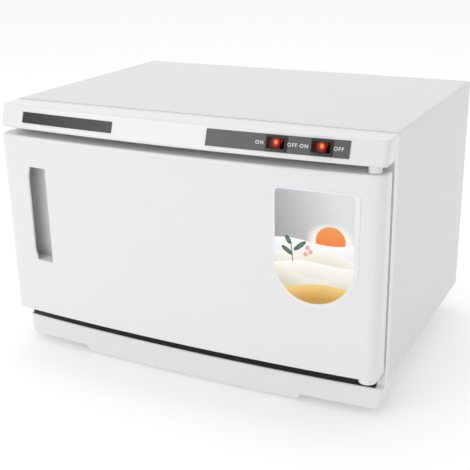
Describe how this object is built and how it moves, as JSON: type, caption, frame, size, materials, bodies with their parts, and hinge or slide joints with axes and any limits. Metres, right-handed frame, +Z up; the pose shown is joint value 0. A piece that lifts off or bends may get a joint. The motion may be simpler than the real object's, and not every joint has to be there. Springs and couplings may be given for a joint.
{
  "type": "uv towel warmer",
  "caption": "Countertop hot towel cabinet: folded steel case, bowed front with a side-hinged door and finger recess, rocker switches, lined chamber with lamp, rack and tray.",
  "frame": {"origin": "middle of the outline, on the surface that the feet stand on", "axes": "+X to the right, +Y to the rear, +Z up; the door faces -Y"},
  "size_m": [0.45, 0.3472, 0.295],
  "materials": {
    "white_enamel": "smooth satin white enamel",
    "white_moulding": "glossy white moulded plastic",
    "zinc_steel": "zinc plated",
    "dark_plate": "charcoal plate, bare",
    "grey_plate": "mid grey brushed plate",
    "black_plastic": "black moulded plastic",
    "red_rocker": "translucent red, lit orange",
    "liner_aluminium": "bare rolled aluminium",
    "insulating_wool": "fibrous mat",
    "insulating_foam": "rigid foam",
    "heater_rubber": "silicone mat",
    "dark_plastic": "dark moulded plastic",
    "lamp_glass": "clear quartz tube",
    "socket_plastic": "off-white plastic",
    "chromed_wire": "bright plated wire",
    "foot_plastic": "pale grey plastic",
    "wire_sleeve": "black sleeve",
    "seal_rubber": "grey silicone",
    "magnet_ferrite": "ferrite in a plastic cap",
    "printed_film": "printed film"
  },
  "bodies": {
    "cabinet": {"outer_shell": "white_enamel", "rear_panel": "white_enamel", "base_pan": "zinc_steel", "front_frame": "white_moulding", "label_plate": "dark_plate", "control_plate": "grey_plate", "power_switch_housing": "black_plastic", "lamp_switch_housing": "black_plastic", "chamber_liner": "liner_aluminium", "chamber_insulation": "insulating_wool", "heater_mat": "heater_rubber", "thermostat": "dark_plastic", "thermal_fuse": "dark_plastic", "uv_lamp": "lamp_glass", "lamp_sockets": "socket_plastic", "lamp_guard": "liner_aluminium", "towel_rack": "chromed_wire", "drip_tray": "liner_aluminium", "catch_plates": "zinc_steel", "upper_hinge": "white_moulding", "lower_hinge": "white_moulding", "hinge_nut": "zinc_steel", "foot_front_left": "foot_plastic", "foot_front_right": "foot_plastic", "foot_rear_left": "foot_plastic", "foot_rear_right": "foot_plastic", "lamp_ballast": "zinc_steel", "lamp_starter": "socket_plastic", "terminal_block": "socket_plastic", "wiring_harness": "wire_sleeve", "cord_gland": "dark_plastic", "rear_panel_screws": "zinc_steel", "lower_hinge_screws": "zinc_steel", "catch_plate_screws": "zinc_steel", "foot_screws": "zinc_steel"},
    "door": {"door_shell": "white_moulding", "recess_cup": "white_moulding", "upper_bushing": "socket_plastic", "lower_bushing": "socket_plastic", "door_inner_panel": "white_moulding", "door_foam": "insulating_foam", "door_gasket": "seal_rubber", "door_magnets": "magnet_ferrite", "door_sticker": "printed_film", "door_panel_screws": "zinc_steel"},
    "power_rocker": {"power_rocker": "red_rocker"},
    "lamp_rocker": {"lamp_rocker": "red_rocker"}
  },
  "joints": [
    {"name": "door_swing", "type": "hinge", "parent": "cabinet", "child": "door", "pos_m": [0.212, -0.1541, 0.05], "axis": [0, 0, 1], "range_deg": [0, 110]},
    {"name": "power_rocker_tilt", "type": "hinge", "parent": "cabinet", "child": "power_rocker", "pos_m": [0.11587, -0.16048, 0.28151], "axis": [-0.0129, 0.3216, 0.9468], "range_deg": [0, 20]},
    {"name": "lamp_rocker_tilt", "type": "hinge", "parent": "cabinet", "child": "lamp_rocker", "pos_m": [0.16142, -0.15828, 0.28151], "axis": [-0.018, 0.3214, 0.9468], "range_deg": [0, 20]}
  ]
}
